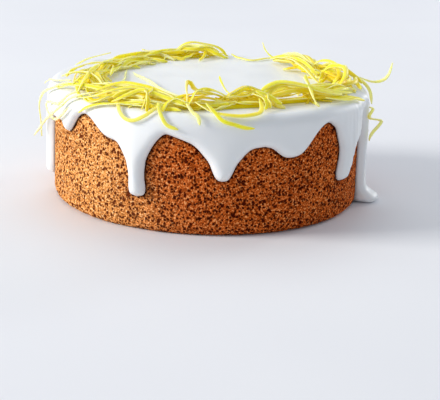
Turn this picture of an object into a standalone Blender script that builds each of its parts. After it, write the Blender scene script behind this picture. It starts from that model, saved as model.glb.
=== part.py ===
"""A round lemon drizzle cake: one deep sponge, poured white icing with drips, and a wreath of lemon zest.

Metres, +Z up. The origin is the middle of the underside, which stands on the plane z = 0.
Azimuth is in degrees from the front (-Y), positive towards +X.
"""

import math

import bmesh
import bpy
from mathutils import Vector
from mathutils.geometry import delaunay_2d_cdt

MM = 0.001
GAP = 0.3 * MM                 # kept between pieces that touch

# The sponge
SPONGE_RADIUS = 102 * MM
SPONGE_HEIGHT = 72 * MM
BOTTOM_ROUND = 5.5 * MM
TOP_ROUND = 3 * MM
SPONGE_SEGMENTS = 72
BOTTOM_STEPS = 4
TOP_STEPS = 2

# The icing: a skin over the top and shoulder, and a skirt that runs down in drips
ICING = 5 * MM
TOP_Z = SPONGE_HEIGHT + ICING
WALL_TOP = SPONGE_HEIGHT - TOP_ROUND        # where the upright wall turns into the shoulder
SHOULDER_ROUND = TOP_ROUND + ICING
SHOULDER_LENGTH = SHOULDER_ROUND * math.pi / 2
FLAT_RADIUS = SPONGE_RADIUS - TOP_ROUND     # the flat of the top ends here
SKIRT_HEIGHT = 68 * MM                      # where the skirt would end if nothing ran down
DRIP_BLEND = 6                              # how sharply neighbouring drips meet
EDGE_SHARE = 0.45                           # thickness at the very edge, as a share of the whole
EDGE_ROUND = 1.6 * MM                       # width of the rounded edge
BULB_SPAN = 7                               # degrees either side of a drip's middle that its bulb widens
TOP_COLUMNS = 84
FLAT_RINGS = (0.62, 0.25)                   # rings of the flat top, as shares of its radius
OUTLINE_STEP = 3.8 * MM
WALL_ROWS = 9
SHOULDER_ROWS = 3
EDGE_CLEARANCE = 1.8 * MM                   # an inner point keeps this far from the rounded edge
CREST_CLEARANCE = 1.2 * MM
POINT_CLEARANCE = 2.5 * MM                  # and a lattice point this far from a crest

# What runs down: azimuth, how far below the skirt, half its width in degrees, and how square its end is
RUNS = (
    (-87.5, 57, 4.6, 5), (-70.5, 11.5, 11.3, 6), (-57.8, 15.5, 5.7, 1.9), (-30.4, 12.5, 11, 3.4),
    (-24.3, 34.4, 6.6, 1.5), (-24.2, 44, 3.6, 9), (-2.9, 9.2, 12, 1.5), (6.5, 30.5, 5.3, 3.4),
    (6.7, 25.8, 10.2, 2), (17.1, 11.4, 5.1, 3.4), (25.9, 11.7, 8.7, 4.7), (31.5, 19.1, 9.5, 2.6),
    (55.3, 7, 4.9, 2.1), (61.8, 41, 4.9, 4.6), (62.9, 21, 9.3, 5.2), (86.8, 68, 6.6, 4.2), (107, 15, 9, 3),
    (121, 17, 9, 2.3), (122, 41, 3.8, 6), (143, 20, 9, 3), (161, 17, 11, 2.2), (163, 51, 4.2, 6),
    (185, 13, 9, 3.5), (204, 34, 6, 3.2), (223, 12, 9, 3), (240, 16, 11, 2.3), (241.5, 47, 3.9, 7),
    (257, 10, 8, 3),
)
# Drips that swell above their tips: azimuth, height of the swelling, height of the neck above it, and how far
# the tip leans, in degrees
BULBS = (
    (-87.5, 19, 18, 0), (-24.2, 26, 10.3, 1.2), (61.8, 32.6, 8.8, -4.8), (122, 32, 12, 1.2),
    (163, 23, 13, -1.5), (241.5, 27, 12, 1),
)
BULB_SWELL = 0.12
BULB_REACH = 5.5 * MM
LEAN_SPAN = 14                              # degrees either side of a drip's middle that lean with it
LEAN_TOP = 52 * MM                          # the lean begins at this height
LEAN_HEIGHT = 30 * MM                       # and is whole this far below it
LONG_DRIP = 30                              # a run deeper than this,
SQUARE_END = 3                              # with an end squarer than this, has a crest down its middle
LONG_DRIPS = [run for run in RUNS if run[1] > LONG_DRIP and run[3] > SQUARE_END]
RUN_THICKENING = 1.2 * MM                   # a long drip is this much thicker than the skirt
THICKENING_HEIGHT = 20 * MM                 # and it thickens over this height
# The drip that reaches the surface spreads into a small pool
POOL_AZIMUTH = 88
POOL_HALF_WIDTH = 9
POOL_REACH = 11.3 * MM
POOL_HEIGHT = 6.4 * MM
POOL_SPREAD = 0.75
POOL_ROWS = (3.2 * MM, 6.5 * MM, 10 * MM)
POOL_COLUMNS = (-4.8, -3.2, -1.6, 1.6, 3.2, 4.8)

# The wreath of zest, an open ring of sheaves: it starts behind on the left and ends behind on the right
# Each sheaf: azimuth and radius of its first end and of its last, how far its middle bows outwards,
# its width, and the height of its crest above the icing, in degrees and mm
SHEAVES = (
    (-187, 86, -161, 86, -1, 14, 11), (-174, 88, -134, 80, 0, 13, 6), (-166, 90, -120, 80, 0, 12, 5),
    (-146, 70, -104, 66, 0, 14, 6), (-132, 74, -88, 76, 0, 14, 5.5), (-114, 66, -74, 72, 0, 14, 5),
    (-104, 82, -62, 88, 0, 9, 4), (-92, 74, -46, 86, 0, 17, 7), (-66, 95, -5, 89, -9, 22, 9),
    (-40, 97, -8, 94, 0, 11, 5), (-16, 89, 12, 78, 0, 14, 8), (4, 80, 33, 71, 1, 16, 10.5),
    (-6, 92, 15, 80, 0, 7, 4), (26, 71, 79, 91, -4, 17, 9.5), (46, 83, 78, 94, 0, 10, 6),
    (72, 90, 104, 90, 2, 16, 7), (86, 90, 118, 78, 2, 18, 12), (106, 76, 152, 85, 2, 16, 10.5),
    (112, 88, 134, 90, 0, 10, 5),
)
SHEAF_STATIONS = 8
SHEAF_SIDES = 8
SHEAF_FULLNESS = 0.75                       # how soon a sheaf reaches its full width and height
SHEAF_TIP_WIDTH = 0.35                      # share of the width that is left at the ends
SHEAF_TIP_HEIGHT = 0.4                      # share of the height that is left at the ends
SHEAF_SHARE_ABOVE = 0.7                     # share of the height over the widest level
SHEAF_POINT = 1.5                           # degrees that each end runs on to its point
LEVEL_DEPTH = 20 * MM                       # of the block that cuts the wreath level
LEVEL_WIDTH = 300 * MM

# One strip of zest
STRIP_WIDTH = 2.5 * MM
STRIP_THICKNESS = 1 * MM
STRIP_STEP = 5 * MM
# The strips that hang or stand clear of the wreath: knots of azimuth, radius and height, in degrees and mm
LOOSE_STRIPS = (
    ((-52, 107.3, 76.3), (-58, 110.5, 67.5), (-66, 113, 57), (-78, 116, 41)),
    ((-69, 106.5, 76.5), (-76, 110.5, 70.5), (-81, 112.5, 61), (-84, 111.5, 48), (-85, 111, 37)),
    ((-59, 109.4, 70), (-66, 109.5, 68.5), (-72, 109.7, 65), (-69, 109.6, 60), (-62, 109.4, 58.8),
     (-57, 109.2, 63.4), (-52.5, 108.8, 70)),
    ((-75, 102.4, 78.8), (-80, 105.6, 77.6), (-84, 109, 73.5)),
    ((-46.5, 108.6, 69), (-43, 108, 73.4), (-38, 105.4, 76.8), (-33, 103.2, 78.1)),
    ((-31, 103.6, 78.3), (-29, 107.4, 75), (-26.5, 108.9, 71.8), (-23.5, 109, 71.2), (-20, 107.6, 74.4),
     (-17.6, 104, 78)),
    ((-15.6, 103.4, 78.2), (-14, 107.5, 74.8), (-12, 109, 70.6), (-8.3, 109.1, 68.3)),
    ((-4.4, 103, 78.3), (-2.4, 106.2, 76.5), (-1.6, 108.8, 71.8)),
    ((3, 102.8, 78.5), (6.8, 105, 77.7), (11.2, 105.8, 77.2), (15.2, 105.2, 77.6), (18.6, 102.8, 78.5)),
    ((5.6, 108.4, 74.8), (9.4, 109, 72.6), (12.6, 109.2, 70.8), (15.8, 109.2, 70.2)),
    ((61, 102.6, 78.4), (66, 104.4, 77.7), (70, 107.6, 75.2)),
    ((97, 102.6, 79), (93.5, 105.6, 77.4), (90, 108.4, 73.4), (86, 109.4, 67)),
    ((80, 108.4, 67), (81.5, 110.6, 65.4), (80.5, 108.8, 62), (81, 108.8, 59.2), (82, 113, 58.2),
     (83, 116.6, 57), (82.5, 114.8, 53.8), (81.5, 111.6, 50), (81, 109.8, 46.4), (81, 109.4, 43.8)),
    ((101, 104.6, 79), (97, 110, 78), (95, 114.4, 78.6), (93.5, 118.4, 81), (92.5, 121, 85.4),
     (91.5, 122.4, 93)),
    ((163.8, 81, 78.4), (160, 78.5, 78.2), (156.5, 81, 78.2), (154.5, 91, 78.2)),
    ((147, 95, 78.4), (153, 98, 78.6), (156, 97.5, 83), (157.5, 97, 88.5)),
    ((183.5, 76, 80), (185, 71, 78.8), (187, 65.5, 78.2)),
    ((118, 102.8, 78.6), (121, 106.8, 76.4), (122, 110, 70), (124.5, 110.2, 64)),
    ((206, 103, 78.4), (203, 107.4, 75.4), (199.5, 109.2, 70.6), (194, 109.2, 69)),
    ((236, 102.8, 78.5), (239, 107, 75.6), (243, 110.2, 71), (247, 109, 68.8)),
)

SPONGE_COLOUR = (0.33, 0.125, 0.04, 1)
ICING_COLOUR = (0.86, 0.88, 0.9, 1)
ZEST_COLOUR = (0.85, 0.62, 0.03, 1)


def clear_scene():
    for old in list(bpy.data.objects):
        bpy.data.objects.remove(old, do_unlink=True)


def plain_material(name, colour, roughness):
    """A non-metal of one colour."""
    material = bpy.data.materials.new(name)
    material.use_nodes = True
    shader = material.node_tree.nodes["Principled BSDF"]
    shader.inputs["Base Color"].default_value = colour
    shader.inputs["Roughness"].default_value = roughness
    shader.inputs["Metallic"].default_value = 0
    return material


def at(azimuth, radius, height):
    angle = math.radians(azimuth)
    return Vector((radius * math.sin(angle), -radius * math.cos(angle), height))


def along(azimuth):
    """Distance round the wall at this azimuth, from the front."""
    return math.radians(azimuth) * SPONGE_RADIUS


def azimuth_of(distance):
    """The azimuth at this distance round the wall."""
    return math.degrees(distance / SPONGE_RADIUS)


def finish(name, bm, material, sharp_degrees=35):
    """Turns the bmesh into a named, smooth-shaded object."""
    bmesh.ops.recalc_face_normals(bm, faces=bm.faces)
    mesh = bpy.data.meshes.new(name)
    bm.to_mesh(mesh)
    bm.free()
    mesh.shade_smooth()
    mesh.set_sharp_from_angle(angle=math.radians(sharp_degrees))
    mesh.materials.append(material)
    piece = bpy.data.objects.new(name, mesh)
    bpy.context.scene.collection.objects.link(piece)
    return piece


def ring_faces(bm, first, second):
    """Closes the strip between two rings of as many points."""
    for i in range(len(first)):
        j = (i + 1) % len(first)
        bm.faces.new((first[i], first[j], second[j], second[i]))


def fan(bm, ring, middle):
    hub = bm.verts.new(middle)
    for i in range(len(ring)):
        bm.faces.new((ring[i], ring[(i + 1) % len(ring)], hub))


# ---------------------------------------------------------------- sponge

def sponge_profile():
    """Half section of the sponge, from the edge of its flat underside to the edge of its flat top."""
    points = []
    for step in range(BOTTOM_STEPS + 1):
        turn = math.pi / 2 * step / BOTTOM_STEPS
        radius = SPONGE_RADIUS - BOTTOM_ROUND * (1 - math.sin(turn))
        points.append((radius, BOTTOM_ROUND * (1 - math.cos(turn))))
    for step in range(TOP_STEPS + 1):
        turn = math.pi / 2 * step / TOP_STEPS
        points.append((FLAT_RADIUS + TOP_ROUND * math.cos(turn), WALL_TOP + TOP_ROUND * math.sin(turn)))
    return points


def make_sponge(material):
    bm = bmesh.new()
    rings = []
    for radius, height in sponge_profile():
        ring = [bm.verts.new(at(360 * i / SPONGE_SEGMENTS, radius, height)) for i in range(SPONGE_SEGMENTS)]
        rings.append(ring)
    for lower, upper in zip(rings, rings[1:]):
        ring_faces(bm, lower, upper)
    fan(bm, rings[0], Vector((0, 0, 0)))
    fan(bm, rings[-1], Vector((0, 0, SPONGE_HEIGHT)))
    return finish("sponge", bm, material)


# ---------------------------------------------------------------- icing

def turned(azimuth, middle):
    """Signed angle from middle to azimuth, within half a turn."""
    return (azimuth - middle + 180) % 360 - 180


def edge_height(azimuth):
    """Height of the skirt's lower edge: the runs below the skirt, blended where they meet."""
    total = 0.0
    for middle, depth, half_width, squareness in RUNS:
        away = abs(turned(azimuth, middle)) / half_width
        total += (depth * math.exp(-away ** squareness)) ** DRIP_BLEND
    return max(SKIRT_HEIGHT - total ** (1 / DRIP_BLEND) * MM, 0.0)


def lean(azimuth, height):
    """Degrees by which the icing has run sideways here."""
    shift = sum(tip * math.exp(-(turned(azimuth, middle) / LEAN_SPAN) ** 4) for middle, _, _, tip in BULBS)
    return shift * min(max((LEAN_TOP - height) / LEAN_HEIGHT, 0), 1)


def swell(azimuth, height):
    """Degrees from a drip's straight form to its real one: out at the bulb, in at the neck, and its lean."""
    shift = lean(azimuth, height)
    for middle, bulb, neck, _ in BULBS:
        near = math.exp(-(turned(azimuth, middle) / BULB_SPAN) ** 4)
        low = math.exp(-((height - bulb * MM) / BULB_REACH) ** 2)
        high = math.exp(-((height - (bulb + neck) * MM) / BULB_REACH) ** 2)
        shift += BULB_SWELL * near * (low - high) * turned(azimuth, middle)
    return shift + POOL_SPREAD * pool(azimuth, height) * turned(azimuth, POOL_AZIMUTH)


def pool(azimuth, height):
    """1 over the middle of the pool that the longest drip ends in, falling to 0 around and above it."""
    away = turned(azimuth, POOL_AZIMUTH) / POOL_HALF_WIDTH
    return math.sqrt(max(1 - away * away, 0)) / (1 + (height / POOL_HEIGHT) ** 4)


def thickness(azimuth, height):
    """Thickness of the icing away from its edge."""
    run = 0.0
    straight = azimuth - lean(azimuth, height)
    for middle, _, half_width, _ in LONG_DRIPS:
        run = max(run, math.exp(-(turned(straight, middle) / half_width) ** 2))
    below = min(max((SKIRT_HEIGHT - height) / THICKENING_HEIGHT, 0), 1)
    return ICING + RUN_THICKENING * run * below + POOL_REACH * pool(azimuth, height)


def skin_point(azimuth, path, offset):
    """A point this far outside the sponge. path is the height up the wall, then the way over the top edge."""
    if path <= WALL_TOP:
        return at(azimuth, SPONGE_RADIUS + offset, path)
    turn = min((path - WALL_TOP) / SHOULDER_ROUND, math.pi / 2)
    reach = TOP_ROUND + offset
    return at(azimuth, FLAT_RADIUS + reach * math.cos(turn), WALL_TOP + reach * math.sin(turn))


def resampled(points, step):
    """The same line with its points evenly spaced, and both ends kept."""
    lengths = [0.0]
    for a, b in zip(points, points[1:]):
        lengths.append(lengths[-1] + (b - a).length)
    count = max(int(round(lengths[-1] / step)), 1)
    out = []
    i = 0
    for k in range(count + 1):
        wanted = lengths[-1] * k / count
        while i < len(points) - 2 and lengths[i + 1] < wanted:
            i += 1
        share = (wanted - lengths[i]) / max(lengths[i + 1] - lengths[i], 1e-12)
        out.append(points[i].lerp(points[i + 1], min(share, 1)))
    return out


def icing_outline(step):
    """The skirt's edge unrolled, left to right: x round the wall, y up it. It starts and ends behind."""
    fine = []
    per_degree = 4
    for i in range(360 * per_degree + 1):
        azimuth = -180 + i / per_degree
        height = edge_height(azimuth)
        fine.append(Vector((along(azimuth + swell(azimuth, height)), height)))
    return resampled(fine, step)


def inner_ring(outline, distance):
    """The outline moved into the icing by this distance."""
    moved = []
    for i, point in enumerate(outline):
        before = outline[max(i - 1, 0)]
        after = outline[min(i + 1, len(outline) - 1)]
        way = (after - before).normalized()
        moved.append(point + Vector((-way.y, way.x)) * distance)
    moved[0] = outline[0] + Vector((0, distance))
    moved[-1] = outline[-1] + Vector((0, distance))
    return moved


def fill(lines, seam_rows, extra):
    """Points and triangles of the unrolled skirt, which keep to the lines and to both its ends."""
    points = []
    edges = []
    for line in lines:
        first = len(points)
        points += line
        edges += [(first + i, first + i + 1) for i in range(len(line) - 1)]
    for side in (0, -1):
        ends = [line[side] for line in lines] + [Vector((lines[0][side].x, row)) for row in seam_rows]
        ends.sort(key=lambda point: point.y)
        first = len(points)
        points += ends
        edges += [(first + i, first + i + 1) for i in range(len(ends) - 1)]
    points += extra
    found = delaunay_2d_cdt(points, edges, [], 0, 1e-6)
    return found[0], found[2]


def inside(point, outline, margin):
    """Whether the point lies above the outline by the margin, sideways as well."""
    lowest = margin
    clear = True
    crossings = 0
    for a, b in zip(outline, outline[1:]):
        if (a.x <= point.x) != (b.x <= point.x):
            height = a.y + (b.y - a.y) * (point.x - a.x) / (b.x - a.x)
            crossings += point.y > height
        if abs(a.x - point.x) < 4 * margin and (a - point).length < lowest:
            clear = False
    return clear and crossings % 2 == 1


def inner_points(ring, shoulder_rows):
    """Points within the unrolled icing: each long drip's crest, a lattice between them, and the pool."""
    spacing = along(360 / TOP_COLUMNS)
    crests = []
    for middle, depth, _, _ in LONG_DRIPS:
        row = WALL_TOP - depth * MM + spacing
        while row < WALL_TOP - spacing:
            crests.append(Vector((along(turned(middle, 0) + lean(middle, row)), row)))
            row += spacing
    lattice = []
    for row in shoulder_rows + [WALL_TOP - spacing * (k + 1) for k in range(WALL_ROWS)]:
        lattice += [Vector((along(-180 + 360 * i / TOP_COLUMNS), row)) for i in range(1, TOP_COLUMNS)]
    for row in POOL_ROWS:
        lattice += [Vector((along(POOL_AZIMUTH + column), row)) for column in POOL_COLUMNS]
    kept = [point for point in crests if inside(point, ring, CREST_CLEARANCE)]
    for point in lattice:
        clear = all((point - other).length > POINT_CLEARANCE for other in kept)
        if clear and inside(point, ring, EDGE_CLEARANCE):
            kept.append(point)
    return kept


def make_icing(material):
    """One skin: an outer face with a rounded lower edge, an inner face by the sponge, and the flat top."""
    outline = icing_outline(OUTLINE_STEP)
    ring = inner_ring(outline, EDGE_ROUND)
    columns = [-180 + 360 * i / TOP_COLUMNS for i in range(TOP_COLUMNS + 1)]
    rim = [Vector((along(azimuth), WALL_TOP + SHOULDER_LENGTH)) for azimuth in columns]
    shoulder_rows = [WALL_TOP + SHOULDER_LENGTH * k / SHOULDER_ROWS for k in range(SHOULDER_ROWS)]
    extra = inner_points(ring, shoulder_rows)
    bm = bmesh.new()
    outer = {}
    inner = {}

    def key(point):
        turns = round((azimuth_of(point.x) % 360) * 1000) % 360000
        return turns, round(point.y / MM * 1000)

    def outer_vert(point):
        if key(point) not in outer:
            azimuth = azimuth_of(point.x)
            full = thickness(azimuth, point.y)
            if any((point - edge).length < 1e-6 for edge in outline):
                full = EDGE_SHARE * ICING + full - ICING
            outer[key(point)] = bm.verts.new(skin_point(azimuth, point.y, full))
        return outer[key(point)]

    def inner_vert(point):
        if key(point) not in inner:
            inner[key(point)] = bm.verts.new(skin_point(azimuth_of(point.x), point.y, GAP))
        return inner[key(point)]

    points, triangles = fill([outline, ring, rim], shoulder_rows, extra)
    for triangle in triangles:
        middle = sum((points[i] for i in triangle), Vector((0, 0))) / 3
        if inside(middle, outline, 0):
            bm.faces.new([outer_vert(points[i]) for i in triangle])
    points, triangles = fill([outline, rim], shoulder_rows, extra)
    for triangle in triangles:
        middle = sum((points[i] for i in triangle), Vector((0, 0))) / 3
        if inside(middle, outline, 0):
            bm.faces.new([inner_vert(points[i]) for i in reversed(triangle)])
    for a, b in zip(outline, outline[1:]):
        bm.faces.new((inner_vert(a), inner_vert(b), outer_vert(b), outer_vert(a)))
    for vert_of, offset in ((outer_vert, ICING), (inner_vert, GAP)):
        previous = [vert_of(point) for point in rim[:-1]]
        for share in FLAT_RINGS:
            radius = FLAT_RADIUS * share
            height = SPONGE_HEIGHT + offset
            following = [bm.verts.new(at(azimuth, radius, height)) for azimuth in columns[:-1]]
            ring_faces(bm, previous, following)
            previous = following
        fan(bm, previous, Vector((0, 0, SPONGE_HEIGHT + offset)))
    return finish("icing", bm, material, 50)


# ---------------------------------------------------------------- zest

def sheaf_mesh(start, start_radius, end, end_radius, bow, width, crest):
    """One sheaf of strips, a flattened spindle along the ring. Its underside dips below the icing's top."""
    bm = bmesh.new()
    rings = []
    for station in range(SHEAF_STATIONS):
        share = math.sin(math.pi * (station / (SHEAF_STATIONS - 1) - 0.5))
        full = max(1 - share * share, 0) ** SHEAF_FULLNESS
        place = start + (end - start) * (share + 1) / 2
        middle = start_radius + (end_radius - start_radius) * (share + 1) / 2 + bow * full
        half_width = width / 2 * (SHEAF_TIP_WIDTH + (1 - SHEAF_TIP_WIDTH) * full)
        rise = crest * (SHEAF_TIP_HEIGHT + (1 - SHEAF_TIP_HEIGHT) * full)
        ring = []
        for side in range(SHEAF_SIDES):
            turn = 2 * math.pi * side / SHEAF_SIDES
            radius = middle + half_width * math.cos(turn)
            above = rise * (1 - SHEAF_SHARE_ABOVE + SHEAF_SHARE_ABOVE * math.sin(turn))
            ring.append(bm.verts.new(at(place, radius * MM, TOP_Z + above * MM)))
        rings.append(ring)
    for first, second in zip(rings, rings[1:]):
        ring_faces(bm, first, second)
    for ring, place in ((rings[0], start - SHEAF_POINT), (rings[-1], end + SHEAF_POINT)):
        middle = sum((vert.co for vert in ring), Vector()) / len(ring)
        fan(bm, ring, at(place, math.hypot(middle.x, middle.y), middle.z))
    return bm


def combine(target, tool, operation):
    """Joins the tool to the target, or cuts it away, and leaves the tool as a guide."""
    modifier = target.modifiers.new(tool.name, "BOOLEAN")
    modifier.operation = operation
    modifier.solver = "MANIFOLD"
    modifier.object = tool
    tool.hide_render = True
    tool.display_type = "WIRE"


def make_wreath(material):
    """The wreath: sheaves that overlap from end to end, joined, and cut level just above the icing."""
    wreath = None
    for number, sheaf in enumerate(SHEAVES):
        name = f"sheaf_{number:02d}" if wreath else "zest_wreath"
        piece = finish(name, sheaf_mesh(*sheaf), material)
        if wreath:
            combine(wreath, piece, "UNION")
        else:
            wreath = piece
    bm = bmesh.new()
    bmesh.ops.create_cube(bm, size=1)
    bmesh.ops.scale(bm, vec=(LEVEL_WIDTH, LEVEL_WIDTH, LEVEL_DEPTH), verts=bm.verts)
    bmesh.ops.translate(bm, vec=(0, 0, TOP_Z + GAP - LEVEL_DEPTH / 2), verts=bm.verts)
    combine(wreath, finish("level_of_icing", bm, material), "DIFFERENCE")


def smooth_line(knots, per_span=8):
    """A Catmull-Rom line through the knots."""
    padded = [knots[0] * 2 - knots[1]] + list(knots) + [knots[-1] * 2 - knots[-2]]
    line = []
    for a, b, c, d in zip(padded, padded[1:], padded[2:], padded[3:]):
        for i in range(per_span):
            t = i / per_span
            line.append(0.5 * (2 * b + (c - a) * t + (2 * a - 5 * b + 4 * c - d) * t ** 2
                               + (3 * b - a - 3 * c + d) * t ** 3))
    return line + [knots[-1].copy()]


def outward(point):
    """Away from the skin: up over the flat, sideways beside the wall, between the two on the shoulder."""
    flat = Vector((point.x, point.y, 0))
    away = flat * max(1 - FLAT_RADIUS / max(flat.length, 1e-9), 0)
    away.z = max(point.z - WALL_TOP, 0)
    return away.normalized()


def make_strip(name, knots, material):
    """A flat strip of zest that lies along the skin."""
    line = resampled(smooth_line([at(a, r * MM, z * MM) for a, r, z in knots]), STRIP_STEP)
    bm = bmesh.new()
    rings = []
    for i, point in enumerate(line):
        way = (line[min(i + 1, len(line) - 1)] - line[max(i - 1, 0)]).normalized()
        across = way.cross(outward(point)).normalized()
        up = across.cross(way)
        half_width = across * STRIP_WIDTH / 2
        half_height = up * STRIP_THICKNESS / 2
        corners = (half_width + half_height, half_width - half_height,
                   -half_width - half_height, half_height - half_width)
        rings.append([bm.verts.new(point + corner) for corner in corners])
    for first, second in zip(rings, rings[1:]):
        ring_faces(bm, first, second)
    bm.faces.new(rings[0])
    bm.faces.new(rings[-1])
    return finish(name, bm, material)


def main():
    clear_scene()
    make_sponge(plain_material("sponge_crumb", SPONGE_COLOUR, 0.85))
    make_icing(plain_material("white_icing", ICING_COLOUR, 0.25))
    zest = plain_material("lemon_zest", ZEST_COLOUR, 0.4)
    make_wreath(zest)
    for number, knots in enumerate(LOOSE_STRIPS, 1):
        make_strip(f"zest_strip_{number:02d}", knots, zest)


main()
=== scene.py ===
"""The looks of a round lemon drizzle cake: crumb, poured icing and a wreath of loose zest, on a pale floor.

Metres, +Z up, in the frame of the CAD solids. Azimuth is in degrees from the front (-Y), positive towards +X.
"""

import math
import random

import bmesh
import bpy
import numpy as np
from mathutils import Matrix, Vector, noise
from mathutils.geometry import delaunay_2d_cdt
from mathutils.kdtree import KDTree


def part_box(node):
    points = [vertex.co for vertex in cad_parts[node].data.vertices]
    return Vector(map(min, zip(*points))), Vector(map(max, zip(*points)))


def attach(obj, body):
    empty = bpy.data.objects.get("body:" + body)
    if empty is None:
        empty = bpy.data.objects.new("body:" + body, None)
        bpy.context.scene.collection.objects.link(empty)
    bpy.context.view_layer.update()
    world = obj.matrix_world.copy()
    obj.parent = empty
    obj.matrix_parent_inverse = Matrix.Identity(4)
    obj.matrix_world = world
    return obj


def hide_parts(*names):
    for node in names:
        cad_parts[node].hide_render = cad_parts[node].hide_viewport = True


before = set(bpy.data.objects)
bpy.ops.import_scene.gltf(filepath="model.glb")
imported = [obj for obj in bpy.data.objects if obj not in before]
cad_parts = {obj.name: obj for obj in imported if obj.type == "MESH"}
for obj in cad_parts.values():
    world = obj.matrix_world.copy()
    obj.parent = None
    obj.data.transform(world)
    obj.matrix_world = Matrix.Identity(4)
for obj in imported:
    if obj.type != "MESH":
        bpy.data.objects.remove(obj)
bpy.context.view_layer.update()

MM = 0.001

# ---------------------------------------------------------------- sizes, from the frame
SPONGE_LOW, SPONGE_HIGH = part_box("sponge")
SPONGE_RADIUS = SPONGE_HIGH.x
SPONGE_HEIGHT = SPONGE_HIGH.z
TOP_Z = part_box("icing")[1].z
ICING = TOP_Z - SPONGE_HEIGHT
BOTTOM_ROUND = 5.5 * MM
TOP_ROUND = 3 * MM
WALL_TOP = SPONGE_HEIGHT - TOP_ROUND
SHOULDER_ROUND = TOP_ROUND + ICING
SHOULDER_LENGTH = SHOULDER_ROUND * math.pi / 2
FLAT_RADIUS = SPONGE_RADIUS - TOP_ROUND

# ---------------------------------------------------------------- the icing's edge, as the solid has it
SKIRT_HEIGHT = 68 * MM
DRIP_BLEND = 6
# What runs down: azimuth, how far below the skirt, half its width in degrees, and how square its end is
RUNS = (
    (-87.5, 57, 4.6, 5), (-70.5, 11.5, 11.3, 6), (-57.8, 15.5, 5.7, 1.9), (-30.4, 12.5, 11, 3.4),
    (-24.3, 34.4, 6.6, 1.5), (-24.2, 44, 3.6, 9), (-2.9, 9.2, 12, 1.5), (6.5, 30.5, 5.3, 3.4),
    (6.7, 25.8, 10.2, 2), (17.1, 11.4, 5.1, 3.4), (25.9, 11.7, 8.7, 4.7), (31.5, 19.1, 9.5, 2.6),
    (55.3, 7, 4.9, 2.1), (61.8, 41, 4.9, 4.6), (62.9, 21, 9.3, 5.2), (86.8, 68, 6.6, 4.2), (107, 15, 9, 3),
    (121, 17, 9, 2.3), (122, 41, 3.8, 6), (143, 20, 9, 3), (161, 17, 11, 2.2), (163, 51, 4.2, 6),
    (185, 13, 9, 3.5), (204, 34, 6, 3.2), (223, 12, 9, 3), (240, 16, 11, 2.3), (241.5, 47, 3.9, 7),
    (257, 10, 8, 3),
)
# Drips that swell above their tips: azimuth, height of the swelling, height of the neck above it, and how far
# the tip leans, in degrees
BULBS = (
    (-87.5, 19, 18, 0), (-24.2, 26, 10.3, 1.2), (61.8, 32.6, 8.8, -4.8), (122, 32, 12, 1.2), (163, 23, 13, -1.5),
    (241.5, 27, 12, 1),
)
BULB_SWELL = 0.12
BULB_REACH = 5.5 * MM
LEAN_SPAN = 14
LEAN_TOP = 52 * MM
LEAN_HEIGHT = 30 * MM
LONG_DRIPS = [run for run in RUNS if run[1] > 30 and run[3] > 3]
RUN_THICKENING = 1.2 * MM
FOLD_DEPTH = 1.6 * MM
POOL_AZIMUTH = 88
POOL_HALF_WIDTH = 9
POOL_REACH = 11.3 * MM
POOL_HEIGHT = 6.4 * MM
POOL_SPREAD = 0.75

# ---------------------------------------------------------------- the wreath's sheaves, as the solid has them
# Each sheaf of strips: azimuth and radius of its first end and of its last, how far its middle bows outwards,
# its width, the height of its crest above the icing, in degrees and mm, and how many strips it shows
SHEAVES = (
    (-187, 86, -161, 86, -1, 14, 11, 7), (-174, 88, -134, 80, 0, 13, 6, 6),
    (-166, 90, -120, 80, 0, 12, 5, 5), (-146, 70, -104, 66, 0, 14, 6, 6),
    (-132, 74, -88, 76, 0, 14, 5.5, 6), (-114, 66, -74, 72, 0, 14, 5, 5), (-104, 82, -62, 88, 0, 9, 4, 4),
    (-92, 74, -46, 86, 0, 17, 7, 6), (-66, 95, -5, 89, -9, 22, 9, 8), (-40, 97, -8, 94, 0, 11, 5, 4),
    (-16, 89, 12, 78, 0, 14, 8, 6), (4, 80, 33, 71, 1, 16, 10.5, 8), (-6, 92, 15, 80, 0, 7, 4, 3),
    (26, 71, 79, 91, -4, 17, 9.5, 8), (46, 83, 78, 94, 0, 10, 6, 4), (72, 90, 104, 90, 2, 16, 7, 5),
    (86, 90, 118, 78, 2, 18, 12, 7), (106, 76, 152, 85, 2, 16, 10.5, 7), (112, 88, 134, 90, 0, 10, 5, 3),
)
WREATH_START = -188
WREATH_END = 138
# Azimuth and radius of the heap's middle line
WREATH_MIDDLE = ((-188, 85), (-160, 85), (-125, 72), (-90, 76), (-60, 85), (-20, 89), (10, 82), (35, 76), (60, 84),
                 (90, 90), (110, 83), (138, 83))


def at(azimuth, radius, height):
    """Points from arrays or numbers, as an (n, 3) array."""
    angle = np.radians(azimuth)
    return np.stack(np.broadcast_arrays(radius * np.sin(angle), -radius * np.cos(angle), height), -1)


def turned(azimuth, middle):
    return (azimuth - middle + 180) % 360 - 180


def wreath_middle(azimuth):
    return np.interp(azimuth, *zip(*WREATH_MIDDLE)) * MM


def along(azimuth):
    return np.radians(azimuth) * SPONGE_RADIUS


def azimuth_of(distance):
    return np.degrees(distance / SPONGE_RADIUS)


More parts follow.
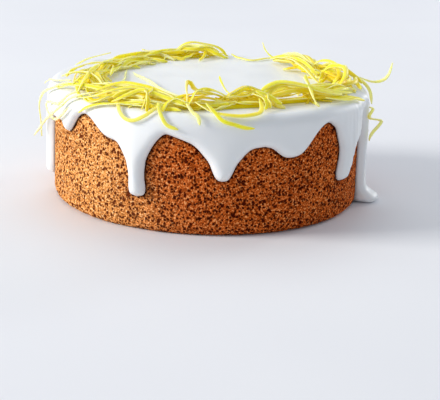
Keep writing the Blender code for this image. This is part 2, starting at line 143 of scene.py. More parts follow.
def make_object(name, points, faces, material, smooth=True, attributes=None):
    """A mesh object from arrays. Points in one place are made one, and each attribute is one number a point."""
    points = np.asarray(points, float).reshape(-1, 3)
    _, first, index = np.unique(np.round(points / 1e-7), axis=0, return_index=True, return_inverse=True)
    index = index.reshape(-1)
    mesh = bpy.data.meshes.new(name)
    kept = []
    for face in faces:
        corners = index[np.asarray(face)]
        if len(set(corners.tolist())) == len(corners):
            kept.append(corners.tolist())
        else:
            fewer = list(dict.fromkeys(corners.tolist()))
            if len(fewer) > 2:
                kept.append(fewer)
    mesh.from_pydata(points[first].tolist(), [], kept)
    for key, values in (attributes or {}).items():
        layer = mesh.attributes.new(key, "FLOAT", "POINT")
        layer.data.foreach_set("value", np.asarray(values, np.float32)[first])
    if smooth:
        mesh.shade_smooth()
    mesh.materials.append(material)
    piece = bpy.data.objects.new(name, mesh)
    bpy.context.scene.collection.objects.link(piece)
    return piece


def closed_up(piece):
    """Welds points that all but meet, fills the pinholes left at sharp drip ends, and turns every face outwards."""
    work = bmesh.new()
    work.from_mesh(piece.data)
    bmesh.ops.remove_doubles(work, verts=work.verts, dist=2e-6)
    open_points = [point for point in work.verts if point.is_boundary]
    bmesh.ops.remove_doubles(work, verts=open_points, dist=0.35 * MM)
    bmesh.ops.holes_fill(work, edges=[edge for edge in work.edges if edge.is_boundary], sides=0)
    bmesh.ops.recalc_face_normals(work, faces=work.faces)
    work.to_mesh(piece.data)
    work.free()
    return piece


def strips_between(first, second, closed=True):
    """Quads between two rows of point numbers."""
    count = len(first) if closed else len(first) - 1
    return [(first[i], first[(i + 1) % len(first)], second[(i + 1) % len(second)], second[i]) for i in range(count)]


# ---------------------------------------------------------------- the icing's edge and thickness

def pool(azimuth, height):
    away = turned(azimuth, POOL_AZIMUTH) / POOL_HALF_WIDTH
    return np.sqrt(np.clip(1 - away * away, 0, None)) / (1 + (height / POOL_HEIGHT) ** 4)


def edge_height(azimuth):
    total = 0.0
    for middle, depth, half_width, squareness in RUNS:
        away = np.abs(turned(azimuth, middle)) / half_width
        total = total + (depth * np.exp(-away ** squareness)) ** DRIP_BLEND
    return np.clip(SKIRT_HEIGHT - total ** (1 / DRIP_BLEND) * MM, 0, None)


def lean(azimuth, height):
    """Degrees by which the icing has run sideways here."""
    below = np.clip((LEAN_TOP - height) / LEAN_HEIGHT, 0, 1)
    return below * sum(tip * np.exp(-(turned(azimuth, middle) / LEAN_SPAN) ** 4) for middle, _, _, tip in BULBS)


def swell(azimuth, height):
    """Degrees from a drip's straight form to its real one: out at the bulb, in at the neck, and its lean."""
    shift = lean(azimuth, height)
    for middle, bulb, neck, _ in BULBS:
        near = np.exp(-(turned(azimuth, middle) / 7) ** 4)
        low = np.exp(-((height - bulb * MM) / BULB_REACH) ** 2)
        high = np.exp(-((height - (bulb + neck) * MM) / BULB_REACH) ** 2)
        shift = shift + BULB_SWELL * near * (low - high) * turned(azimuth, middle)
    return shift + POOL_SPREAD * pool(azimuth, height) * turned(azimuth, POOL_AZIMUTH)


def run_thickness(azimuth, height):
    """How much thicker a long drip is down its middle."""
    run = 0.0
    straight = azimuth - lean(azimuth, height)
    for middle, _, half_width, _ in LONG_DRIPS:
        run = np.maximum(run, np.exp(-(turned(straight, middle) / half_width) ** 2))
    return RUN_THICKENING * run * np.clip((SKIRT_HEIGHT - height) / (20 * MM), 0, 1)


def skin_point(azimuth, path, offset):
    """A point this far outside the sponge. path is the height up the wall, then the way round the shoulder."""
    turn = np.clip((path - WALL_TOP) / SHOULDER_ROUND, 0, math.pi / 2)
    reach = TOP_ROUND + offset
    radius = FLAT_RADIUS + reach * np.cos(turn)
    height = np.where(path <= WALL_TOP, path, WALL_TOP + reach * np.sin(turn))
    return at(azimuth, radius, height)


def resampled(line, step):
    lengths = np.concatenate([[0], np.cumsum(np.linalg.norm(np.diff(line, axis=0), axis=1))])
    wanted = np.linspace(0, lengths[-1], max(int(round(lengths[-1] / step)), 2) + 1)
    return np.stack([np.interp(wanted, lengths, line[:, k]) for k in range(line.shape[1])], 1)


def icing_outline(step):
    azimuth = np.linspace(-180, 180, 7201)
    height = edge_height(azimuth)
    return resampled(np.stack([along(azimuth + swell(azimuth, height)), height], 1), step)


def moved_in(outline, distance):
    """The outline moved into the icing. Its two ends stay one above the other."""
    way = np.gradient(outline, axis=0)
    way /= np.linalg.norm(way, axis=1)[:, None]
    moved = outline + np.stack([-way[:, 1], way[:, 0]], 1) * distance
    moved[0] = outline[0] + (0, distance)
    moved[-1] = outline[-1] + (0, distance)
    return moved


def above_line(points, line):
    """Whether each point lies on the upper side of a line that runs from left to right."""
    crossings = np.zeros(len(points), int)
    a, b = line[:-1], line[1:]
    for lo in range(0, len(points), 2000):
        x = points[lo:lo + 2000, 0][:, None]
        y = points[lo:lo + 2000, 1][:, None]
        spans = (a[:, 0] <= x) != (b[:, 0] <= x)
        width = np.where(b[:, 0] == a[:, 0], 1, b[:, 0] - a[:, 0])
        height = a[:, 1] + (b[:, 1] - a[:, 1]) * (x - a[:, 0]) / width
        crossings[lo:lo + 2000] = (spans & (y > height)).sum(1)
    return crossings % 2 == 1


def distance_to(points, line):
    tree = KDTree(len(line))
    for i, (x, y) in enumerate(line):
        tree.insert((x, y, 0), i)
    tree.balance()
    return np.array([tree.find((x, y, 0))[2] for x, y in points])


OUTLINE = icing_outline(0.85 * MM)


def edge_share(distance):
    """Share of the full thickness at this distance from the edge: a soft rounded lip."""
    return np.sqrt(1 - (1 - np.clip(distance / (5.5 * MM), 0, 1)) ** 2.2)


def waviness(points):
    """Gentle unevenness of the poured surface."""
    return np.array([0.3 * MM * noise.noise(Vector((x, y, z * 0.6)) * 38) for x, y, z in points])


def folds(azimuth, height):
    """Soft folds that run down the right side, where the icing set while it flowed."""
    strength = np.exp(-((azimuth - 74) / 15) ** 4) * np.clip(height / (20 * MM), 0, 1)
    strength = strength * np.clip((WALL_TOP + SHOULDER_LENGTH - height) / SHOULDER_LENGTH, 0, 1)
    values = [noise.noise((0.4 * a, 14 * h, 2.5)) + 0.6 * noise.noise((0.9 * a, 22 * h, 7.5))
              for a, h in zip(azimuth, height)]
    return FOLD_DEPTH * strength * np.array(values)


def make_icing(material):
    """The skin over top and shoulder, the skirt with its drips and the pool, closed behind by a face in the sponge."""
    lip = ((0.55, -0.06), (0.12, 0.06), (0, 0.17), (0.1, 0.27), (0.35, None), (0.8, None), (1.5, None), (2.4, None))
    rings = [moved_in(OUTLINE, inset * MM) for inset, _ in lip]
    columns = 360
    rim = np.stack([along(np.linspace(-180, 180, columns + 1)), np.full(columns + 1, WALL_TOP + SHOULDER_LENGTH)], 1)
    spacing = 1.7 * MM
    rows = np.arange(3 * MM, WALL_TOP + SHOULDER_LENGTH - spacing * 0.6, spacing * 0.87)
    lattice = np.concatenate([
        np.stack(np.broadcast_arrays(
            np.arange(-along(180) + spacing * (0.75 + 0.5 * (k % 2)), along(180) - 0.6 * spacing, spacing), row), 1)
        for k, row in enumerate(rows)])
    lattice = lattice[above_line(lattice, rings[-1])]
    lattice = lattice[distance_to(lattice, rings[-1]) > 0.8 * MM]
    seam_rows = [row for row in rows if row > rings[-1][0, 1] + spacing / 2]

    flat = [Vector(p) for p in rings[-1]] + [Vector(p) for p in rim]
    inner_count = len(rings[-1])
    edges = [(i, i + 1) for i in range(inner_count - 1)]
    edges += [(inner_count + i, inner_count + i + 1) for i in range(columns)]
    for side in (0, -1):
        line = [rings[-1][side]] + [np.array((rim[side][0], row)) for row in seam_rows] + [rim[side]]
        edges += [(len(flat) + i, len(flat) + i + 1) for i in range(len(line) - 1)]
        flat += [Vector(p) for p in line]
    flat += [Vector(p) for p in lattice]
    found = delaunay_2d_cdt(flat, edges, [], 0, 1e-7)
    field = np.array([tuple(p) for p in found[0]])
    triangles = np.array(found[2])
    triangles = triangles[above_line(field[triangles].mean(1), rings[-1])]

    def lifted(plane, share):
        azimuth = azimuth_of(plane[:, 0])
        thick = share * (ICING + run_thickness(azimuth, plane[:, 1]))
        thick = thick + POOL_REACH * pool(azimuth, plane[:, 1]) * np.clip(share * 8, 0, 1)
        points = skin_point(azimuth, plane[:, 1], thick)
        return skin_point(azimuth, plane[:, 1], thick + share * (waviness(points) + folds(azimuth, plane[:, 1])))

    points = []
    faces = []
    count = 0
    rows_of = []
    for ring, (inset, share) in zip(rings, lip):
        known = np.full(len(ring), share) if share is not None else edge_share(np.full(len(ring), inset * MM))
        points.append(lifted(ring, known))
        rows_of.append(np.arange(len(ring)) + count)
        count += len(ring)
    for lower, upper in zip(rows_of, rows_of[1:]):
        faces += strips_between(lower, upper, closed=False)
    share = edge_share(distance_to(field, OUTLINE))
    points.append(lifted(field, share))
    faces += (triangles + count).tolist()
    count += len(field)
    points.append(skin_point(azimuth_of(field[:, 0]), field[:, 1], -0.3 * MM))
    faces += (triangles[:, ::-1] + count).tolist()
    count += len(field)
    points.append(skin_point(azimuth_of(rings[-1][:, 0]), rings[-1][:, 1], -0.3 * MM))
    faces += strips_between(np.arange(len(rings[-1])) + count, rows_of[0], closed=False)
    count += len(rings[-1])

    azimuth = np.linspace(-180, 180, columns + 1)[:-1]
    previous = None
    steps = 40
    for k in range(steps):
        radius = FLAT_RADIUS * (1 - k / steps)
        top = at(azimuth, radius, TOP_Z)
        points.append(top + np.stack([np.zeros(columns), np.zeros(columns), waviness(top)], 1))
        row = np.arange(columns) + count
        count += columns
        if previous is not None:
            faces += strips_between(previous, row)
        previous = row
    points.append([(0, 0, TOP_Z)])
    faces += [(previous[i], previous[(i + 1) % columns], count) for i in range(columns)]
    count += 1
    points.append(at(azimuth, FLAT_RADIUS, SPONGE_HEIGHT - 0.3 * MM))
    points.append([(0, 0, SPONGE_HEIGHT - 0.3 * MM)])
    faces += [(count + (i + 1) % columns, count + i, count + columns) for i in range(columns)]
    return closed_up(make_object("icing_skin", np.concatenate(points), faces, material))


# ---------------------------------------------------------------- sponge

def profile_of_sponge(step):
    """Half section as (radius, height, outward lean) from the edge of the flat underside to the flat top."""
    rows = []
    arc = BOTTOM_ROUND * math.pi / 2
    for k in range(int(arc / step) + 1):
        turn = k * step / BOTTOM_ROUND
        rows.append((SPONGE_RADIUS - BOTTOM_ROUND * (1 - math.sin(turn)), BOTTOM_ROUND * (1 - math.cos(turn)), turn))
    for height in np.arange(BOTTOM_ROUND + step * 0.3, WALL_TOP, step):
        rows.append((SPONGE_RADIUS, height, math.pi / 2))
    for turn in np.linspace(0, math.pi / 2, 5):
        rows.append((FLAT_RADIUS + TOP_ROUND * math.cos(turn), WALL_TOP + TOP_ROUND * math.sin(turn),
                     math.pi / 2 + turn))
    return np.array(rows)


def pore_field(columns, rows, step, draw):
    """Depth of the pores in metres on the unrolled side, and the painted shade in each pore, darkest at its middle."""
    depth = np.zeros((rows, columns))
    painted_pore_shade = np.zeros((rows, columns))
    width = columns * step
    # Each kind of pore: how many, least and most radius and deepest depth in mm, and how dark its painted shade is.
    kinds = ((6000, 0.6, 0.95, 0.4, 0), (1300, 0.9, 1.3, 0.9, 0.8), (170, 1.2, 2.0, 1.5, 1))
    for count, least, most, deepest, shade in kinds:
        for _ in range(count):
            radius = draw.uniform(least, most) * MM
            stretch = draw.uniform(0.75, 1.5)
            u = draw.uniform(0, width)
            v = draw.uniform(0, rows * step)
            lean = draw.uniform(-0.6, 0.6)
            reach = int(radius * 1.8 / step) + 1
            j0, i0 = int(u / step), int(v / step)
            i = np.arange(max(i0 - reach, 0), min(i0 + reach + 2, rows))
            j = np.arange(j0 - reach, j0 + reach + 2)
            dv = (i * step - v)[:, None] / radius
            du = (j * step - u)[None, :] / radius
            hollow = np.clip(1 - ((du + lean * dv) / stretch) ** 2 - (dv * stretch) ** 2, 0, 1)
            cells = np.ix_(i, j % columns)
            depth[cells] = np.maximum(depth[cells], hollow * deepest * MM * draw.uniform(0.6, 1))
            painted_pore_shade[cells] = np.maximum(painted_pore_shade[cells], shade * np.sqrt(hollow))
    return depth, painted_pore_shade


def make_sponge(material):
    columns = 860
    step = 2 * math.pi * SPONGE_RADIUS / columns
    profile = profile_of_sponge(step)
    rows = len(profile)
    depth, painted_pore_shade = pore_field(columns, rows, step, random.Random(3))
    azimuth = np.arange(columns) * 360 / columns
    radius = np.broadcast_to(profile[:, 0][:, None], (rows, columns))
    height = np.broadcast_to(profile[:, 1][:, None], (rows, columns))
    lumps = np.empty((rows, columns))
    for i in range(rows):
        for j in range(columns):
            angle = math.radians(azimuth[j])
            place = Vector((math.sin(angle) * 102, -math.cos(angle) * 102, profile[i, 1] / MM))
            lumps[i, j] = 0.35 * noise.noise(place * 0.035) + 0.28 * noise.noise(place * 0.42)
    sink = depth - lumps * MM
    sink[0] = 0
    out = profile[:, 2][:, None]
    radius = radius - sink * np.sin(out)
    height = height + sink * np.cos(out) * (out < math.pi / 2)
    points = at(azimuth[None, :], radius, np.clip(height, 0, None)).reshape(-1, 3)
    numbers = np.arange(rows * columns).reshape(rows, columns)
    faces = []
    for lower, upper in zip(numbers, numbers[1:]):
        faces += strips_between(lower, upper)
    hub = len(points)
    faces += [(numbers[0][(j + 1) % columns], numbers[0][j], hub) for j in range(columns)]
    faces += [(numbers[-1][j], numbers[-1][(j + 1) % columns], hub + 1) for j in range(columns)]
    points = np.concatenate([points, [(0, 0, 0), (0, 0, SPONGE_HEIGHT)]])
    plane = np.stack(np.broadcast_arrays(along(turned(azimuth, 0))[None, :], profile[:, 1][:, None]), -1).reshape(-1, 2)
    near = distance_to(plane, OUTLINE)
    # Painted shadow: a narrow band of crumb along the icing's edge, darkest at the edge, where the icing's lip shades
    # it.
    soak = np.append(np.exp(-(near / (1.4 * MM)) ** 2), (0, 0))
    painted_pore_shade = np.append(painted_pore_shade.reshape(-1), (0, 0))
    # Painted light: the mask below is near 1 on the side of the sponge that faces the key light, reaching a little
    # further round low down, and 0 elsewhere. There the crumb is painted golden and lighter, and on the rest a darker
    # brown, as lit and shaded sides of one crumb.
    side = turned(np.degrees(np.arctan2(points[:, 0], -points[:, 1])), -105)
    low = np.clip(1 - points[:, 2] / (45 * MM), 0, 1)
    golden = 1 / (1 + np.exp((np.abs(side) - 80 - 9 * low) / (5 + 2 * low)))
    return make_object("sponge_crumb", points, faces, material,
                       attributes={"pore": painted_pore_shade, "soak": soak, "golden": golden})


# ---------------------------------------------------------------- zest

def icing_surface(radius):
    """Height of the icing's top at this distance from the middle, and of its shoulder."""
    over = np.clip(radius - FLAT_RADIUS, 0, SHOULDER_ROUND * 0.995)
    return WALL_TOP + np.sqrt(SHOULDER_ROUND ** 2 - over ** 2)


class Pile:
    """The height of what already lies on the icing, on a square grid over the cake."""

    cell = 0.8 * MM
    half = 150

    def __init__(self):
        side = (np.arange(2 * self.half + 1) - self.half) * self.cell
        self.top = icing_surface(np.hypot(side[:, None], side[None, :]))

    def cells(self, points, reach):
        centre = np.round(points[:, :2] / self.cell).astype(int) + self.half
        spread = np.arange(-reach, reach + 1)
        i = np.clip(centre[:, 0][:, None, None] + spread[None, :, None], 0, 2 * self.half)
        j = np.clip(centre[:, 1][:, None, None] + spread[None, None, :], 0, 2 * self.half)
        return i, j

    def under(self, points, reach=1):
        return self.top[self.cells(points, reach)].max((1, 2))

    def add(self, points, tops, reach=1):
        i, j = self.cells(points, reach)
        tops = np.broadcast_to(tops[:, None, None], np.broadcast(i, j).shape)
        np.maximum.at(self.top, (np.broadcast_to(i, tops.shape), np.broadcast_to(j, tops.shape)), tops)


def smoothed(values, times):
    for _ in range(times):
        values = np.concatenate([values[:1], (values[:-2] + 2 * values[1:-1] + values[2:]) / 4, values[-1:]])
    return values


# Across a strip: the rind above, slightly crowned, the pith below, slightly hollow. Shares of width and thickness
SECTION = np.array([(0.5, 0.2), (0.36, 0.5), (0, 0.6), (-0.36, 0.5), (-0.5, 0.2),
                    (-0.46, -0.4), (0, -0.22), (0.46, -0.4)])
PALE_SIDES = np.array([1, 0.25, 0, 0.25, 1, 1, 1, 1])


class Strips:
    """Gathers strips of zest into one mesh."""

    def __init__(self):
        self.points = []
        self.faces = []
        self.tone = []
        self.pith = []
        self.count = 0

    def add(self, line, width, thickness, tilt, tone, away=None, pale=0.0):
        """A strip along the line. tilt turns it about its own length, in radians, from lying flat."""
        way = np.gradient(line, axis=0)
        way /= np.linalg.norm(way, axis=1)[:, None] + 1e-12
        if away is None:
            away = np.broadcast_to((0.0, 0.0, 1.0), line.shape)
        across = np.cross(way, away)
        across /= np.linalg.norm(across, axis=1)[:, None] + 1e-12
        up = np.cross(across, way)
        turn = np.broadcast_to(tilt, len(line))[:, None]
        across, up = across * np.cos(turn) + up * np.sin(turn), up * np.cos(turn) - across * np.sin(turn)
        share = np.linspace(-1, 1, len(line))
        taper = np.clip(1.02 - np.abs(share) ** 9, 0.25, 1)[:, None]
        width = np.broadcast_to(width, len(line))[:, None] * taper
        sides = len(SECTION)
        ring = (line[:, None, :] + (across * width)[:, None, :] * SECTION[None, :, :1]
                + (up * thickness)[:, None, :] * SECTION[None, :, 1:])
        numbers = np.arange(len(line) * sides).reshape(len(line), sides) + self.count
        for first, second in zip(numbers, numbers[1:]):
            self.faces += strips_between(second, first)
        self.faces.append(tuple(numbers[0]))
        self.faces.append(tuple(numbers[-1][::-1]))
        self.points.append(ring.reshape(-1, 3))
        # Pale pith on the strip's sides and underside, and over the whole strip as much paleness as it is given: pith
        # on some strips, painted light on those on the lit left.
        self.pith.append(np.tile(np.maximum(PALE_SIDES, pale), len(line)))
        self.tone.append(np.full(len(line) * sides, tone))
        self.count += len(line) * sides

    def make(self, name, material, pile):
        """Painted shade: 0 on what lies open, rising to 1 on what lies under other strips, where the heap shades it."""
        points = np.concatenate(self.points)
        bare = icing_surface(np.hypot(points[:, 0], points[:, 1]))
        deep = np.clip((pile.under(points, 2) - np.maximum(points[:, 2], bare)) / (5 * MM) - 0.15, 0, 1)
        return make_object(name, points, self.faces, material,
                           attributes={"tone": np.concatenate(self.tone), "pith": np.concatenate(self.pith),
                                       "deep": deep})


def soft_limit(height, most):
    return most * (1 - np.exp(-height / most))


LAID_STEP = 0.5 * MM
SMOOTHING = 12


def lay_strip(strips, pile, azimuth, radius, rise, lean, draw, width=None, pale=0.0, narrow=1.0):
    """Lays one strip on the pile. azimuth to lean are arrays along its length, and rise is its own height."""
    line = resampled(np.concatenate([at(azimuth, radius, rise), lean[:, None] * MM], 1), LAID_STEP)
    rise, lean, line = line[:, 2], line[:, 3] / MM, line[:, :3].copy()
    thickness = draw.uniform(0.7, 1) * MM
    flat = width is not None
    width = width or draw.triangular(2, 3.6, 2.8) * MM * narrow
    bare = icing_surface(np.hypot(line[:, 0], line[:, 1]))
    under = soft_limit(pile.under(line, 0) - bare, 7 * MM)
    line[:, 2] = bare + smoothed(np.maximum(rise, under), SMOOTHING) + thickness * 0.6
    share = np.linspace(-1, 1, len(line))
    twist = 0 * share if flat else draw.gauss(0, 0.55) + share * draw.gauss(0, 0.5)
    if not flat and draw.random() < 0.4:
        where = draw.uniform(-0.9, 0.9)
        twist = twist + draw.choice((-1, 1)) * draw.uniform(0.9, 1.5) * np.exp(-((share - where) / 0.3) ** 2)
    kept = np.unique(np.append(np.arange(0, len(line), 3), len(line) - 1))
    strips.add(line[kept], width, thickness, (lean + twist)[kept], draw.uniform(-1, 1), pale=pale)
    pile.add(line, line[:, 2] + thickness * 0.5, 0)


def lay_sheaf(strips, pile, sheaf, draw):
    """Strips that run side by side, spread over the crest in the middle and drawn together at both ends."""
    start, start_radius, end, end_radius, bow, width, lift, count = sheaf
    order = list(range(count))
    draw.shuffle(order)
    for number, place in enumerate(order):
        across = np.clip((place + 0.5) / count * 2 - 1 + draw.uniform(-0.15, 0.15), -1, 1)
        level = (0.45, 0.75, 1)[min(3 * number // count, 2)] * draw.uniform(0.85, 1.08)
        share = np.linspace(-1 - draw.uniform(-0.4, 0.18), 1 + draw.uniform(-0.4, 0.18), 32)
        arch = np.clip(1 - share ** 2, 0, 1) ** 0.75
        spread = 0.35 + 0.65 * arch
        crossing = draw.choice((0.3, 0.3, 0.9)) * draw.uniform(-1, 1) * share
        place_across = np.clip(across * spread + crossing, -1, 1)
        radius = start_radius + (end_radius - start_radius) * (share + 1) / 2 + bow * arch
        radius = radius + place_across * width / 2
        radius = radius + draw.uniform(0.3, 1.6) * np.sin(share * draw.uniform(2, 6) + draw.uniform(0, 6))
        end_flick = np.clip((np.abs(share) - 0.7) / 0.3, 0, 1) ** 2 * np.where(share > 0, 1, -1)
        radius = radius + end_flick * draw.uniform(-6, 6)
        crown = np.sqrt(1 - 0.95 * place_across ** 2)
        waves = draw.uniform(0.2, 0.9) * np.sin(share * draw.uniform(4, 7) + draw.uniform(0, 6))
        rise = lift * level * arch * (0.3 + 0.7 * crown) + waves
        lean = -lift * level * arch * 0.66 * place_across / crown / (width / 2)
        azimuth = start + (end - start) * (share + 1) / 2
        lay_strip(strips, pile, azimuth, np.clip(radius, 56, 104) * MM, np.clip(rise, 0, None) * MM,
                  np.clip(np.arctan(lean), -0.8, 0.8), draw)


# Single strips that stand out of the sheaves: knots of azimuth, radius and height above the icing
HEAP_STRIPS = (
    ((-22, 84, 9), (-32, 90, 9), (-38, 101, 6.5), (-45, 104, 3), (-53, 104, 1)),
    ((-28, 88, 7), (-35, 100, 5), (-40, 104, 2.5), (-46, 104, 1.5)),
    ((-33, 94, 6), (-37, 102, 4), (-42, 105, 1.5), (-50, 103, 1.5), (-58, 98, 3)),
    ((-20, 84, 7.5), (-29, 86, 8), (-32, 96, 6.5), (-34, 102, 4.5)),
    ((-44, 99, 5), (-40, 91, 9), (-36, 87, 10.5), (-30, 86, 10.5), (-23, 86, 9.5), (-15, 90, 7.5), (-7, 97, 4)),
    ((-34, 103, 2.5), (-30, 100, 5.5), (-26, 92, 9), (-22, 92, 8.5), (-16, 93, 6.5), (-8, 97, 4)),
    ((-36, 104, 1.5), (-31, 103, 2.5), (-27, 101, 2), (-21, 101, 1.5)),
    ((-24, 98, 4), (-22, 92, 6), (-17, 91, 5), (-11, 96, 3), (-6, 98, 2.5)),
    ((-25, 88, 9), (-23, 94, 9), (-20.5, 100, 6), (-20, 104, 0.6)),
    ((-24, 85, 9), (-22, 90, 9.5), (-21.5, 97, 7), (-22, 103, 0.6)),
    ((-2, 90, 5), (-6, 95, 4.5), (-11, 94, 6.5), (-14, 98, 4), (-14.5, 103, 0.8)),
    ((-6.5, 98, 2), (-7, 92, 7), (-8, 88, 11), (-8.5, 82, 14.5), (-7, 80, 13.5), (-5, 84, 11), (-1, 85, 9.5), (3, 83, 8)),
    ((-6, 98, 4), (-5, 93, 8), (-4, 88, 10.5), (0, 79, 10), (4, 78, 9), (9, 80, 6)),
    ((12, 80, 6), (9.5, 74, 8), (8, 67, 11), (7, 60, 14.5)),
    ((22, 78, 9), (25, 84, 8), (25, 89, 5), (24.5, 95, 1.5)),
    ((22, 80, 9), (26, 86, 7), (29, 89, 4), (31, 90, 2)),
    ((20, 82, 8), (23.5, 88, 6.5), (23.5, 93, 3), (22, 96, 1)),
    ((25, 84, 2.5), (34, 84, 3), (45, 86, 3), (54, 92, 2.5), (62, 99, 1.5), (68, 102, 0.8)),
    ((26, 82, 5), (30, 85, 7), (38, 82, 7.5), (46, 84, 7), (53, 91, 5), (60, 96, 3)),
    ((25, 80, 5), (29, 77, 8), (34, 75, 9.5), (40, 75, 9.5), (45, 77, 7)),
    ((60, 72, 12.5), (54, 77, 12), (48, 86, 10), (44, 94, 7), (43, 99, 2.5), (44, 101, 0.8)),
    ((84, 86, 3.5), (88, 92, 3), (87, 98, 2), (82, 102, 1)),
    ((104, 90, 7), (98, 93, 8), (95, 98, 5), (93, 103, 1.5)),
    ((136, 76, 6), (122, 68, 9), (108, 64, 9.5), (95, 66, 8), (86, 70, 5), (83, 74, 2)),
    ((140, 78, 6), (128, 72, 9.5), (112, 69, 10), (100, 70, 8), (92, 73, 4)),
    ((93, 74, 1), (99, 78, 6), (95, 81, 11), (90, 86, 13), (84, 90, 13), (79, 91, 10.5), (76, 89, 5), (73, 88, 2)),
    ((-60, 99, 4), (-63, 92, 6.5), (-74, 79, 6), (-87, 69, 4.5), (-96, 63, 2)),
    ((-78, 98, 3), (-73, 92, 7), (-69, 84, 8), (-60, 82, 7), (-51, 85, 5)),
    ((-52, 102, 3), (-58, 92, 7), (-66, 84, 8), (-82, 76, 7.5), (-104, 73, 6), (-118, 72, 3)),
    ((-74, 96, 4), (-80, 90, 7), (-86, 83, 8), (-98, 76, 7), (-109, 69, 5), (-116, 64, 2)),
)


# Strips that lie face up: knots as above, width in mm and how much of their pale pith shows. On the last two, which lie
# on the lit left, this paleness is painted light.
FLAT_STRIPS = (
    (((25, 80, 5), (27, 76, 8), (31, 75, 11), (37, 75, 12.5), (42, 80, 12), (47, 87, 10), (52, 93, 7), (62, 97, 3)),
     3.4, 0.1),
    (((28, 80, 4), (33, 76, 9), (39, 76, 11), (46, 82, 10), (53, 89, 8), (60, 93, 5), (70, 99, 2)), 3, 0.2),
    (((-104, 53, 0.5), (-82, 43, 0.5), (-58, 42, 0.5), (-31, 53, 1), (-14, 74, 3.5), (-6, 91, 3)), 1.9, 1.15),
    (((-110, 60, 0.5), (-98, 57, 0.5), (-84, 56, 0.5), (-72, 60, 0.5), (-62, 68, 2)), 1.4, 1.1),
)


FLAT_LEAN = 0.5
NARROW = {13: 0.5, 9: 0.8, 8: 0.8}


def make_heap(pile, material):
    draw = random.Random(21)
    strips = Strips()
    for sheaf in sorted(SHEAVES, key=lambda row: row[6]):
        lay_sheaf(strips, pile, sheaf, draw)
    for _ in range(32):
        share = np.linspace(-1, 1, 20)
        middle = draw.uniform(WREATH_START + 8, WREATH_END - 4)
        slant = draw.choice((-1, 1)) * draw.uniform(4, 15) * share
        radius = wreath_middle(middle) / MM + draw.uniform(-6, 6) + slant + draw.uniform(-5, 5) * (1 - share ** 2)
        lay_strip(strips, pile, middle + share * draw.uniform(4, 13), np.clip(radius, 58, 103) * MM,
                  draw.uniform(0, 4) * MM * (1 - share ** 2), 0 * share, draw)
    for number, knots in enumerate(HEAP_STRIPS):
        azimuth, radius, rise = smooth_line(np.array(knots, float)).T
        lay_strip(strips, pile, azimuth, radius * MM, rise * MM, 0 * rise, draw, narrow=NARROW.get(number, 1))
    for knots, width, pale in FLAT_STRIPS:
        azimuth, radius, rise = smooth_line(np.array(knots, float)).T
        lay_strip(strips, pile, azimuth, radius * MM, rise * MM, 0 * rise - FLAT_LEAN, draw, width * MM, pale)
    return strips.make("zest_heap", material, pile)


